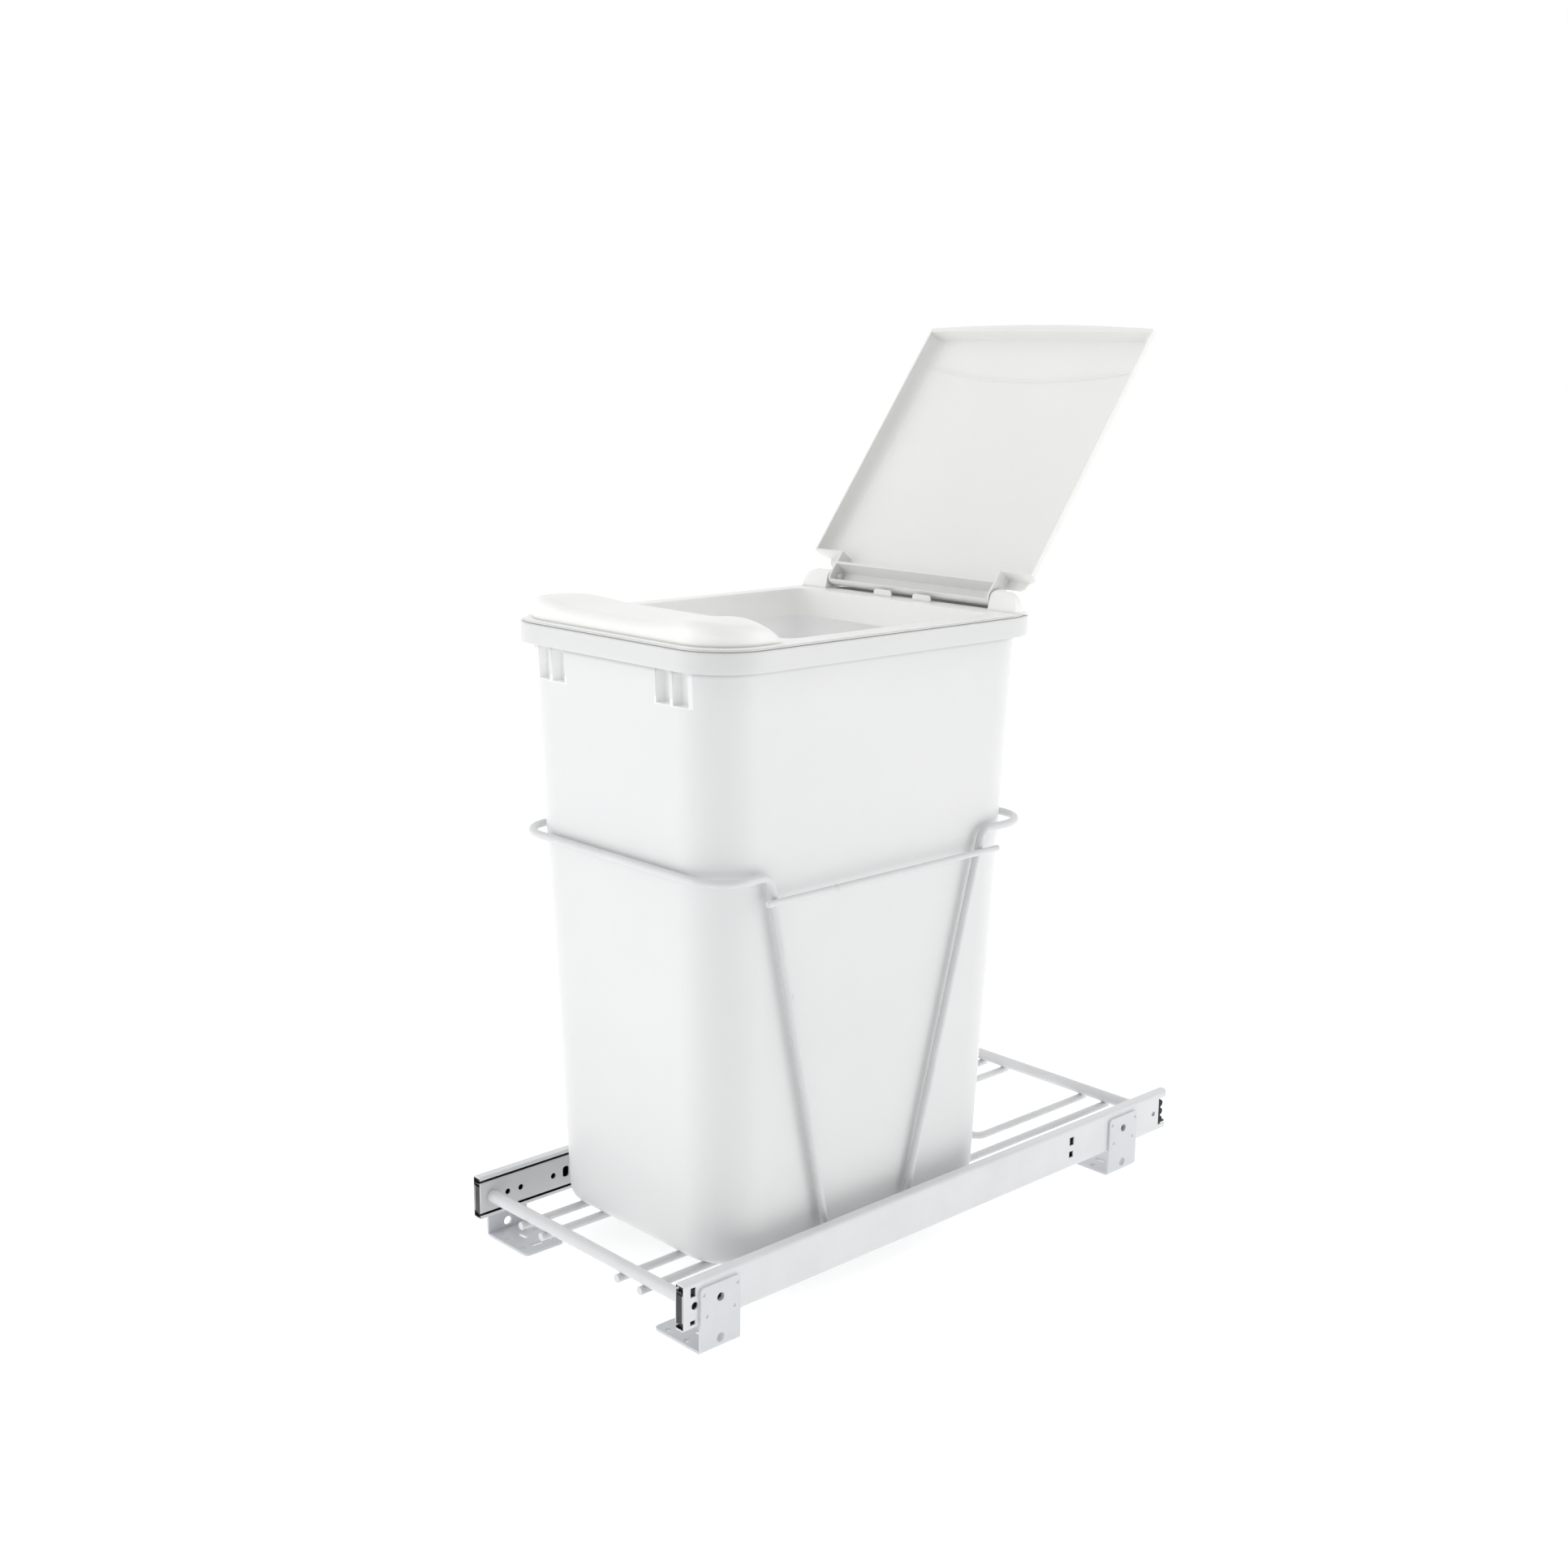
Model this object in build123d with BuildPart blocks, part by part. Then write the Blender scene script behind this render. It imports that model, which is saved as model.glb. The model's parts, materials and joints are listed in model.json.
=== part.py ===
"""Pull-out waste container for a kitchen base cabinet: one bin with a hinged lid on two drawer slides.

Frame: millimetres, +Z up, X to the right seen from the front, the drawer pulls out along -Y.
The origin is on the cabinet floor, midway between the slides and halfway along them.
The drawer is pushed in and the lid stands open on its stop.
"""

import os
from math import cos, exp, radians, sin

from build123d import *

os.makedirs("parts", exist_ok=True)

# Drawer slides: two-member, three-quarter extension
RAIL_LENGTH = 559.0
RAIL_FRONT = -RAIL_LENGTH / 2
RAIL_REAR = RAIL_LENGTH / 2
RAIL_AXIS_Z = 38.6
OUTER_WEB_X = 127.6
OUTER_MOUTH_X = 118.6
OUTER_HALF_HEIGHT = 17.6
OUTER_FLANGE_HALF = 15.6
OUTER_LIP_HALF = 14.6
SHEET = 1.2
LIP_SHEET = 1.0
INNER_WEB_X = 117.8
INNER_EDGE_X = 124.6
INNER_HALF_HEIGHT = 12.7
INNER_SHEET = 1.1
INNER_FLANGE = 1.5
BALL_RADIUS = 1.985
BALL_X = 122.2
BALL_OFFSET = 14.145
GROOVE_RADIUS = 2.045
BALLS_PER_ROW = 8
CAGE_LENGTH = 120.0
CAGE_SHEET = 0.5

# Floor brackets
BRACKET_SHEET = 2.1
BRACKET_LENGTH = 37.3
BRACKET_HEIGHT = 50.3
BRACKET_REACH = 51.9
BRACKET_FRONT_Y = -247.4
BRACKET_REAR_Y = 213.8
BRACKET_HOLE_PITCH_X = 20.8
BRACKET_HOLE_PITCH_Y = 27.2
BRACKET_HOLE_X = 98.8
BRACKET_HOLE_RADIUS = 2.4

# Wire cradle
BAR_DIAMETER = 10.0
FRONT_BAR_Y = -268.4
REAR_BAR_Y = 260.6
WIRE_DIAMETER = 6.3
SIDE_WIRE_DIAMETER = 4.8
WELD = 0.02
BASE_WIRE_Z = RAIL_AXIS_Z - (BAR_DIAMETER + WIRE_DIAMETER) / 2 + WELD
OUTER_WIRE_X = 72.0
INNER_WIRE_X = 46.0
WIRE_FRONT_Y = -274.5
WIRE_REAR_Y = 265.5
REAR_LOOP_Y = 119.7
FRONT_LOOP_Y = 40.0
FRONT_HOOP_Y = -239.4
FRONT_HOOP_Z = 331.8
REAR_HOOP_Y = 90.0
REAR_HOOP_Z = 329.8
HOOP_HALF_WIDTH = 115.8
HOOP_CORNER = 30.0
WIRE_BEND = 9.0
FRONT_LEG_FOOT_Y = -121.9
FRONT_LEG_TOP_Y = -190.7
REAR_LEG_FOOT_Y = -37.0
REAR_LEG_TOP_Y = 32.5
LEG_FOOT_X = 107.4
LEG_TOP_X = HOOP_HALF_WIDTH
SIDE_WIRE_Z = 313.9
SIDE_WIRE_FRONT_Y = -197.7
SIDE_WIRE_REAR_Y = 45.8

# Bin
BIN_Y = -76.0
WALL = 2.2
BIN_FLOOR_Z = 34.0
BIN_NECK_Z = 477.8
BIN_RIM_Z = 492.5
FOOT_HALF_X = 102.0
FOOT_HALF_Y = 146.3
NECK_HALF_X = 113.1
NECK_HALF_Y = 165.0
RIM_HALF_X = 124.2
RIM_HALF_Y = 171.6
BODY_CORNER = 38.5
RIM_CORNER = 42.7
BIN_FLOOR_EDGE = 10.0
POCKET_WIDTH = 15.0
POCKET_DEPTH = 9.0
POCKET_FLOOR_Z = 452.0
POCKET_X = (59.3, 77.3)

# Lid frame
FRAME_BOTTOM_Z = 492.8
FRAME_TOP_Z = 494.9
BEAD_INSET = 3.7
OPENING_HALF_X = 105.5
OPENING_FRONT_Y = -166.0
OPENING_REAR_Y = 47.0
OPENING_CORNER = 12.0
COLLAR_BOTTOM_Z = 472.5
DECK_HALF_X = 116.0
DECK_FRONT_Y = -239.5
DECK_REAR_Y = -178.0
DECK_BOW = 3.7
DECK_CORNER = 38.0
DECK_ROUND = 8.5
POST_INNER_X = 89.6
POST_OUTER_X = 117.5
POST_FRONT_Y = 60.4
POST_PLATE_REAR_Y = 69.8
POST_CHEEK = 4.4
POST_RADIUS = 6.0
PIN_RADIUS = 2.5
PIN_TIP_X = 84.2
POST_SIDE_ROUND = 14.0
SEAT_RIB_DEPTH = 5.8
SEAT_RIB_HALF_X = 110.5
SEAT_RIB_HALF_Y = 162.6
SEAT_RIB_CORNER = 35.6
SEAT_RIB_SHEET = 1.6
TROUGH_FRONT_Y = 68.0
TROUGH_REAR_Y = 84.0
TROUGH_FLOOR_Z = 491.5
TROUGH_SHEET = 2.0
TAB_X = 21.5
TAB_REAR_Y = 59.8
TAB_SHEET = 1.4
TAB_TOP_Z = 500.3

# Lid, in its own plane: forward along the open lid, depth towards its top skin
HINGE_Y = 72.8
HINGE_Z = 504.1
LID_LEAN = 53.0
LID_LIP = 8.9
LID_DEPTH = 15.0
LID_SKIN = 2.0
LID_END_WALL = 3.6
LID_HALF_X = 119.2
LID_START = 17.6
LID_END = 249.3
LID_BOW = 3.9
LID_SIDE_ROUND = 12.0
TAIL_START = 10.0
TAIL_HALF_X = 109.5
BARREL_HALF_X = 88.4
BARREL_RADIUS = 8.4
CHANNEL_FRONT = 7.6
REAR_LIP = 7.0
PIN_HOLE_RADIUS = 2.55
CREASE_STEP = 0.7
CREASE_RIDGE = 0.7
CREASE_RIDGE_WIDTH = 1.8
CREASE_SIDE = 220.5
CREASE_MIDDLE = 205.0


LID_PLANE = Plane(
    origin=(0, HINGE_Y, HINGE_Z),
    x_dir=(1, 0, 0),
    z_dir=(0, -sin(radians(LID_LEAN)), cos(radians(LID_LEAN))),
)


def save(shape, name):
    """Label one finished piece and write it as its own STEP file."""
    shape.label = name
    export_step(shape, f"parts/{name}.step")


def mirrored(shape):
    """Return the left-hand twin of a right-hand piece."""
    return mirror(shape, about=Plane.YZ)


def save_pair(shape, name):
    """Write a right-hand piece and its left-hand twin."""
    save(shape, f"{name}_right")
    save(mirrored(shape), f"{name}_left")


def section_plane(rear_y):
    """Return a plane facing the front, for sections that run forward from rear_y."""
    return Plane.XZ.offset(-rear_y)


# ---------------------------------------------------------------- drawer slides


def ball_grooves():
    """Cut the two ball tracks out of the section being drawn."""
    for side in (-1, 1):
        with Locations((BALL_X, RAIL_AXIS_Z + side * BALL_OFFSET)):
            Circle(GROOVE_RADIUS, mode=Mode.SUBTRACT)


def web_slot(y, z, width, height):
    """Cut a rectangular slot through the outer web."""
    with BuildSketch(Plane.YZ.offset(OUTER_WEB_X - 2 * SHEET)) as slot:
        with Locations((y, z)):
            Rectangle(width, height)
    extrude(slot.sketch, amount=3 * SHEET, mode=Mode.SUBTRACT)


def web_holes(web_x, places, radius):
    """Cut round holes through a web at the given (y, z) places."""
    with BuildSketch(Plane.YZ.offset(web_x - SHEET)) as holes:
        with Locations(*places):
            Circle(radius)
    extrude(holes.sketch, amount=3 * SHEET, mode=Mode.SUBTRACT)


def outer_slide():
    """Return the right-hand cabinet member: a lipped channel with slots, holes and a rear notch."""
    notch_depth = 13.0
    with BuildPart() as slide:
        with BuildSketch(section_plane(RAIL_REAR)) as section:
            middle_x = (OUTER_MOUTH_X + OUTER_WEB_X) / 2
            with Locations((middle_x, RAIL_AXIS_Z)):
                Rectangle(OUTER_WEB_X - OUTER_MOUTH_X, 2 * OUTER_HALF_HEIGHT)
            fillet(section.vertices().group_by(Axis.X)[-1], radius=2.8)
            fillet(section.vertices().group_by(Axis.X)[0], radius=0.8)
            cavity_x = OUTER_MOUTH_X + LIP_SHEET
            cavity_width = OUTER_WEB_X - SHEET - cavity_x
            with Locations((cavity_x + cavity_width / 2, RAIL_AXIS_Z)):
                Rectangle(cavity_width, 2 * OUTER_FLANGE_HALF, mode=Mode.SUBTRACT)
            with Locations((OUTER_MOUTH_X, RAIL_AXIS_Z)):
                Rectangle(4 * LIP_SHEET, 2 * OUTER_LIP_HALF, mode=Mode.SUBTRACT)
            ball_grooves()
        extrude(amount=RAIL_LENGTH)
        with BuildSketch(Plane.YZ.offset(OUTER_WEB_X - 2 * SHEET)):
            with Locations((RAIL_REAR - notch_depth / 2, RAIL_AXIS_Z)):
                Rectangle(notch_depth, 24.4)
        extrude(amount=3 * SHEET, mode=Mode.SUBTRACT)
        with BuildSketch(Plane.XY):
            with Locations((OUTER_WEB_X, RAIL_REAR)):
                Rectangle(5.0, 5.0, rotation=45)
        extrude(amount=RAIL_AXIS_Z + 30, mode=Mode.SUBTRACT)
        web_slot(-271.2, RAIL_AXIS_Z + 10.5, 4.8, 7.2)
        web_slot(-271.6, RAIL_AXIS_Z - 12.4, 4.8, 3.4)
        web_slot(146.0, RAIL_AXIS_Z + 6.1, 5.6, 7.2)
        web_slot(145.6, RAIL_AXIS_Z - 5.4, 5.2, 5.4)
        web_holes(OUTER_WEB_X - SHEET, [(FRONT_BAR_Y - 1.4, RAIL_AXIS_Z)], 2.9)
        web_holes(OUTER_WEB_X - SHEET, [(REAR_BAR_Y - 1.4, RAIL_AXIS_Z)], 2.2)
        bracket_places = [(BRACKET_FRONT_Y, RAIL_AXIS_Z + 0.2), (BRACKET_REAR_Y, RAIL_AXIS_Z + 0.2)]
        web_holes(OUTER_WEB_X - SHEET, bracket_places, 3.2)
    return slide.part


def inner_slide():
    """Return the right-hand drawer member: a channel with track grooves and a folded front tab."""
    tab_height = 20.8
    with BuildPart() as slide:
        with BuildSketch(section_plane(RAIL_REAR)) as section:
            with Locations(((INNER_WEB_X + INNER_EDGE_X) / 2, RAIL_AXIS_Z)):
                Rectangle(INNER_EDGE_X - INNER_WEB_X, 2 * INNER_HALF_HEIGHT)
            fillet(section.vertices().group_by(Axis.X)[0], radius=1.5)
            with Locations((INNER_EDGE_X, RAIL_AXIS_Z)):
                hollow_width = 2 * (INNER_EDGE_X - INNER_WEB_X - INNER_SHEET)
                hollow_height = 2 * (INNER_HALF_HEIGHT - INNER_FLANGE)
                Rectangle(hollow_width, hollow_height, mode=Mode.SUBTRACT)
            ball_grooves()
        extrude(amount=RAIL_LENGTH)
        with BuildSketch(section_plane(RAIL_FRONT + INNER_SHEET)):
            with Locations(((INNER_WEB_X + 125.9) / 2, RAIL_AXIS_Z - 1)):
                Rectangle(125.9 - INNER_WEB_X, tab_height)
        extrude(amount=INNER_SHEET)
        round_holes = [(-253.6, RAIL_AXIS_Z - 1), (-241.1, RAIL_AXIS_Z - 1), (-209.1, RAIL_AXIS_Z - 1)]
        rear_holes = [(-y - 8, z) for y, z in round_holes]
        web_holes(INNER_WEB_X, round_holes + rear_holes, 2.45)
        web_holes(INNER_WEB_X, [(FRONT_BAR_Y, RAIL_AXIS_Z), (REAR_BAR_Y, RAIL_AXIS_Z)], 2.6)
        with BuildSketch(Plane.YZ.offset(INNER_WEB_X - SHEET)):
            with Locations((-196.6, RAIL_AXIS_Z - 0.6), (188.6, RAIL_AXIS_Z - 0.6)):
                RectangleRounded(6.2, 9.2, 2.4)
        extrude(amount=3 * SHEET, mode=Mode.SUBTRACT)
    return slide.part


def ball_places():
    """Return the (y, z) centre of every ball of one slide."""
    pitch = CAGE_LENGTH / BALLS_PER_ROW
    rows = [RAIL_AXIS_Z - BALL_OFFSET, RAIL_AXIS_Z + BALL_OFFSET]
    return [((step - (BALLS_PER_ROW - 1) / 2) * pitch, z) for step in range(BALLS_PER_ROW) for z in rows]


def ball_cage():
    """Return the right-hand ball retainer: a thin channel with a round window for every ball."""
    web_x = 125.4
    edge_x = 120.4
    flange_half = 14.4
    with BuildPart() as cage:
        with BuildSketch(section_plane(CAGE_LENGTH / 2)):
            with Locations(((edge_x + web_x + CAGE_SHEET) / 2, RAIL_AXIS_Z)):
                Rectangle(web_x + CAGE_SHEET - edge_x, 2 * flange_half)
            with Locations(((edge_x + web_x) / 2 - 1, RAIL_AXIS_Z)):
                Rectangle(web_x - edge_x + 2, 2 * (flange_half - CAGE_SHEET), mode=Mode.SUBTRACT)
        extrude(amount=CAGE_LENGTH)
        windows = [(BALL_X, y) for y, z in ball_places() if z > RAIL_AXIS_Z]
        with BuildSketch(Plane.XY):
            with Locations(*windows):
                Circle(BALL_RADIUS + 0.1)
        extrude(amount=100, mode=Mode.SUBTRACT)
    return cage.part


def balls():
    """Return the steel balls of the right-hand slide as one group."""
    with BuildPart() as group:
        with Locations(*[(BALL_X, y, z) for y, z in ball_places()]):
            Sphere(BALL_RADIUS)
    return group.part


def front_guide():
    """Return the black plastic guide that lines the front mouth of the right-hand outer member."""
    guide_length = 4.0
    outside_x = OUTER_WEB_X - SHEET
    inside_x = OUTER_MOUTH_X + LIP_SHEET + 0.3
    with BuildPart() as guide:
        with BuildSketch(section_plane(RAIL_FRONT + 1.6 + guide_length)):
            with Locations(((outside_x + inside_x) / 2, RAIL_AXIS_Z)):
                Rectangle(outside_x - inside_x, 2 * OUTER_FLANGE_HALF)
            with Locations(((outside_x + inside_x) / 2 - 1.2, RAIL_AXIS_Z)):
                Rectangle(outside_x - inside_x, 2 * (INNER_HALF_HEIGHT + 0.35), mode=Mode.SUBTRACT)
        extrude(amount=guide_length)
    return guide.part


def rear_stop():
    """Return the black rubber stop with three lobes in the right-hand rear notch."""
    stop_y = RAIL_REAR - 13.0
    with BuildPart() as stop:
        with BuildSketch(Plane.YZ.offset(OUTER_WEB_X - SHEET - 1.2)):
            with Locations((stop_y + 1.4, RAIL_AXIS_Z)):
                Rectangle(2.8, 22.0)
            with Locations(*[(stop_y + 2.6, RAIL_AXIS_Z + rise) for rise in (-7.4, 0.0, 7.4)]):
                Circle(3.0)
            with Locations((stop_y - 3.0, RAIL_AXIS_Z)):
                Rectangle(6.0, 40.0, mode=Mode.SUBTRACT)
        extrude(amount=SHEET + 1.2)
    return stop.part


# ---------------------------------------------------------------- floor brackets


def bracket(middle_y):
    """Return a right-hand floor bracket: an upright plate bent inward into a drilled foot."""
    outside_x = OUTER_WEB_X + BRACKET_SHEET
    bend_outside = 3.4
    with BuildPart() as plate:
        with BuildSketch(section_plane(middle_y + BRACKET_LENGTH / 2)) as section:
            with Locations((outside_x, 0)):
                Rectangle(BRACKET_REACH, BRACKET_HEIGHT, align=(Align.MAX, Align.MIN))
            fillet(section.vertices().sort_by_distance((outside_x, 0))[0], radius=bend_outside)
            with Locations((OUTER_WEB_X, BRACKET_SHEET)):
                Rectangle(BRACKET_REACH, BRACKET_HEIGHT, align=(Align.MAX, Align.MIN), mode=Mode.SUBTRACT)
        extrude(amount=BRACKET_LENGTH)
        top_corners = plate.edges().filter_by(Axis.X).group_by(Axis.Z)[-1]
        fillet(top_corners, radius=3.0)
        foot_corners = plate.edges().filter_by(Axis.Z).group_by(Axis.X)[0]
        fillet(foot_corners, radius=4.0)
        with BuildSketch(Plane.YZ.offset(OUTER_WEB_X - 1)):
            with Locations((middle_y, 7.6)):
                Circle(3.6)
            with Locations((middle_y, 2.2)):
                Rectangle(8.0, 4.0, mode=Mode.SUBTRACT)
            with Locations((middle_y, RAIL_AXIS_Z + 0.2)):
                Circle(3.2)
        extrude(amount=BRACKET_SHEET + 2, mode=Mode.SUBTRACT)
        dimples = [(middle_y + side * 15.6, RAIL_AXIS_Z + 6.2) for side in (-1, 1)]
        dimples += [(middle_y + side * 12.9, RAIL_AXIS_Z - 10.6) for side in (-1, 1)]
        with BuildSketch(Plane.YZ.offset(outside_x - 0.5)):
            with Locations(*dimples):
                Circle(1.3)
        extrude(amount=1, mode=Mode.SUBTRACT)
        with BuildSketch(Plane.XY.offset(-1)):
            with Locations((BRACKET_HOLE_X, middle_y)):
                with GridLocations(BRACKET_HOLE_PITCH_X, BRACKET_HOLE_PITCH_Y, 2, 2):
                    Circle(BRACKET_HOLE_RADIUS)
            with Locations((107.6, middle_y)):
                SlotOverall(12.5, 4.6)
            with Locations((88.3, middle_y)):
                SlotOverall(13.0, 4.6, rotation=90)
        extrude(amount=BRACKET_SHEET + 2, mode=Mode.SUBTRACT)
    return plate.part


# ---------------------------------------------------------------- wire cradle


def straight_wire(start, end, diameter):
    """Return a straight round wire with slightly broken end edges."""
    axis = Vector(*end) - Vector(*start)
    with BuildPart() as wire:
        with BuildSketch(Plane(origin=start, z_dir=axis)):
            Circle(diameter / 2)
        extrude(amount=axis.length)
        chamfer(wire.edges().filter_by(GeomType.CIRCLE), length=0.4)
    return wire.part


def bent_wire(points, bend_radii, diameter):
    """Return a round wire bent round the inner points, each with its own radius."""
    with BuildPart() as wire:
        with BuildLine() as path:
            start = Vector(*points[0])
            for before, corner, after, radius in zip(points, points[1:], points[2:], bend_radii):
                corner = Vector(*corner)
                back = (Vector(*before) - corner).normalized()
                ahead = (Vector(*after) - corner).normalized()
                half_angle = radians(back.get_angle(ahead)) / 2
                reach = radius / sin(half_angle) * cos(half_angle)
                arc_start = corner + back * reach
                arc_end = corner + ahead * reach
                inward = (back + ahead).normalized()
                arc_middle = corner + inward * (radius / sin(half_angle) - radius)
                Line(start, arc_start)
                ThreePointArc(arc_start, arc_middle, arc_end)
                start = arc_end
            Line(start, Vector(*points[-1]))
        with BuildSketch(Plane(origin=path.line @ 0, z_dir=path.line % 0)):
            Circle(diameter / 2)
        sweep(path=path.line)
    return wire.part


def cross_bar(y):
    """Return a round bar between the inner members, drilled at both ends for its screws."""
    screw_hole_depth = 13.0
    with BuildPart() as bar:
        with BuildSketch(Plane.YZ.offset(-INNER_WEB_X)):
            with Locations((y, RAIL_AXIS_Z)):
                Circle(BAR_DIAMETER / 2)
        extrude(amount=2 * INNER_WEB_X)
        chamfer(bar.edges().filter_by(GeomType.CIRCLE), length=0.5)
        for end_x in (-INNER_WEB_X, INNER_WEB_X - screw_hole_depth):
            with BuildSketch(Plane.YZ.offset(end_x)):
                with Locations((y, RAIL_AXIS_Z)):
                    Circle(2.35)
            extrude(amount=screw_hole_depth, mode=Mode.SUBTRACT)
    return bar.part


def bar_screw(y):
    """Return a right-hand pan-head screw through the inner member into the end of a bar."""
    head_x = INNER_WEB_X + INNER_SHEET
    with BuildPart() as screw:
        with BuildSketch(Plane.YZ.offset(head_x - 12)):
            with Locations((y, RAIL_AXIS_Z)):
                Circle(2.3)
        extrude(amount=12)
        with BuildSketch(Plane.YZ.offset(head_x)):
            with Locations((y, RAIL_AXIS_Z)):
                Circle(4.2)
        extrude(amount=2.6)
        fillet(screw.faces().sort_by(Axis.X)[-1].edges(), radius=1.2)
        with BuildSketch(Plane.YZ.offset(head_x + 1.4)):
            with Locations((y, RAIL_AXIS_Z)):
                Rectangle(4.6, 1.0)
                Rectangle(1.0, 4.6)
        extrude(amount=2, mode=Mode.SUBTRACT)
    return screw.part


def hoop_wire(hoop_y, hoop_z, leg_top_y, leg_foot_y):
    """Return a hoop round the bin whose two ends run down as slanting legs to the inner members."""
    half = [
        (INNER_WEB_X, leg_foot_y, RAIL_AXIS_Z),
        (LEG_FOOT_X, leg_foot_y, RAIL_AXIS_Z),
        (LEG_TOP_X, leg_top_y, hoop_z),
        (HOOP_HALF_WIDTH, hoop_y, hoop_z),
    ]
    points = half + [(-x, y, z) for x, y, z in reversed(half)]
    bends = [WIRE_BEND, WIRE_BEND, HOOP_CORNER]
    return bent_wire(points, bends + bends[::-1], WIRE_DIAMETER)


def side_wire_x(hoop_z):
    """Return where a side wire touches the outside of the leg that rises to a hoop."""
    rise = (SIDE_WIRE_Z - RAIL_AXIS_Z) / (hoop_z - RAIL_AXIS_Z)
    leg_x = LEG_FOOT_X + rise * (LEG_TOP_X - LEG_FOOT_X)
    return leg_x + (WIRE_DIAMETER + SIDE_WIRE_DIAMETER) / 2 - WELD


def loop_wire(closed_y, open_y):
    """Return a U-shaped base wire, closed at closed_y and open at the cross bar."""
    points = [
        (-INNER_WIRE_X, open_y, BASE_WIRE_Z),
        (-INNER_WIRE_X, closed_y, BASE_WIRE_Z),
        (INNER_WIRE_X, closed_y, BASE_WIRE_Z),
        (INNER_WIRE_X, open_y, BASE_WIRE_Z),
    ]
    return bent_wire(points, [WIRE_BEND, WIRE_BEND], WIRE_DIAMETER)


# ---------------------------------------------------------------- bin


def bin_block(inset, floor_z, top_z, floor_edge):
    """Return the tapered, round-cornered bin body, drawn in by inset all round."""
    with BuildPart() as block:
        for z in (floor_z, top_z):
            share = (z - BIN_FLOOR_Z) / (BIN_NECK_Z - BIN_FLOOR_Z)
            half_x = FOOT_HALF_X + share * (NECK_HALF_X - FOOT_HALF_X) - inset
            half_y = FOOT_HALF_Y + share * (NECK_HALF_Y - FOOT_HALF_Y) - inset
            with BuildSketch(Plane((0, BIN_Y, z))):
                RectangleRounded(2 * half_x, 2 * half_y, BODY_CORNER - inset)
        loft()
        fillet(block.faces().sort_by(Axis.Z)[0].edges(), radius=floor_edge)
    return block.part


def rim_plate(inset, bottom_z, top_z):
    """Return a flat round-cornered plate that follows the rim, drawn in by inset."""
    with BuildPart() as plate:
        with BuildSketch(Plane((0, BIN_Y, bottom_z))):
            RectangleRounded(2 * (RIM_HALF_X - inset), 2 * (RIM_HALF_Y - inset), RIM_CORNER - inset)
        extrude(amount=top_z - bottom_z)
    return plate.part


def pocket_block(grow, top_z):
    """Return the blocks that fill the four front pockets, grown by a wall thickness."""
    front_y = BIN_Y - NECK_HALF_Y
    with BuildPart() as block:
        with BuildSketch(Plane.XY.offset(POCKET_FLOOR_Z - grow)):
            for side in (-1, 1):
                for x in POCKET_X:
                    with Locations((side * x, front_y - 20)):
                        width = POCKET_WIDTH + 2 * grow
                        depth = 20 + POCKET_DEPTH + grow
                        Rectangle(width, depth, align=(Align.CENTER, Align.MIN))
        extrude(amount=top_z - POCKET_FLOOR_Z + grow)
    return block.part


def waste_bin():
    """Return the moulded bin: tapered body, skirted rim and the four small pockets at the front."""
    body = bin_block(0, BIN_FLOOR_Z, BIN_RIM_Z, BIN_FLOOR_EDGE)
    hollow = bin_block(WALL, BIN_FLOOR_Z + 2.5, BIN_RIM_Z + 5, BIN_FLOOR_EDGE - WALL)
    under_rim_z = BIN_RIM_Z - WALL
    gutter = rim_plate(WALL, BIN_NECK_Z - 1, under_rim_z) - body
    pocket_walls = pocket_block(WALL, under_rim_z) & body
    pocket_voids = pocket_block(0, under_rim_z) & body
    with BuildPart() as shell:
        add(body)
        add(rim_plate(0, BIN_NECK_Z, BIN_RIM_Z))
        fillet(shell.edges().group_by(Axis.Z)[-1], radius=1.2)
        add(gutter, mode=Mode.SUBTRACT)
        add(hollow, mode=Mode.SUBTRACT)
        add(pocket_walls)
        add(pocket_voids, mode=Mode.SUBTRACT)
    return shell.part


# ---------------------------------------------------------------- lid frame


def deck_height(x, y):
    """Return how high the wavy deck stands above the frame top: two humps and a low middle."""
    ridge = 11.8 + 4.9 * exp(-(((abs(x) - 86) / 28) ** 2))
    droop = 1.0 + 11.0 * (abs(x) / 109) ** 3
    behind = max(0.0, (y + 212) / 34)
    return ridge - droop * behind**3


def deck_crown():
    """Return the wavy crown of the deck as a surface a little larger than the deck."""
    step_x = 8.0
    step_y = 6.0
    grid = [
        [
            Vector(i * step_x, j * step_y, FRAME_TOP_Z + deck_height(i * step_x, j * step_y))
            for j in range(-42, -27)
        ]
        for i in range(-16, 17)
    ]
    return Face.make_surface_from_array_of_points(grid, tol=0.02, min_deg=3, max_deg=5)


def front_deck():
    """Return the raised front deck, trimmed to the round front and to the bow of the lid's edge."""
    below_crown = Solid.extrude(deck_crown(), Vector(0, 0, -40))
    with BuildPart() as deck:
        with BuildSketch(Plane.XY.offset(FRAME_BOTTOM_Z)) as outline:
            with BuildLine():
                Polyline(
                    (DECK_HALF_X, DECK_REAR_Y),
                    (DECK_HALF_X, DECK_FRONT_Y),
                    (-DECK_HALF_X, DECK_FRONT_Y),
                    (-DECK_HALF_X, DECK_REAR_Y),
                )
                ThreePointArc(
                    (-DECK_HALF_X, DECK_REAR_Y),
                    (0, DECK_REAR_Y - DECK_BOW),
                    (DECK_HALF_X, DECK_REAR_Y),
                )
            make_face()
            fillet(outline.vertices().group_by(Axis.Y)[0], radius=DECK_CORNER)
        extrude(amount=30)
        add(below_crown, mode=Mode.INTERSECT)
        crown_edges = deck.faces().sort_by(Axis.Z)[-1].edges()
        fillet(crown_edges.sort_by(Axis.Y)[:-1], radius=DECK_ROUND)
    return deck.part


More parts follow.
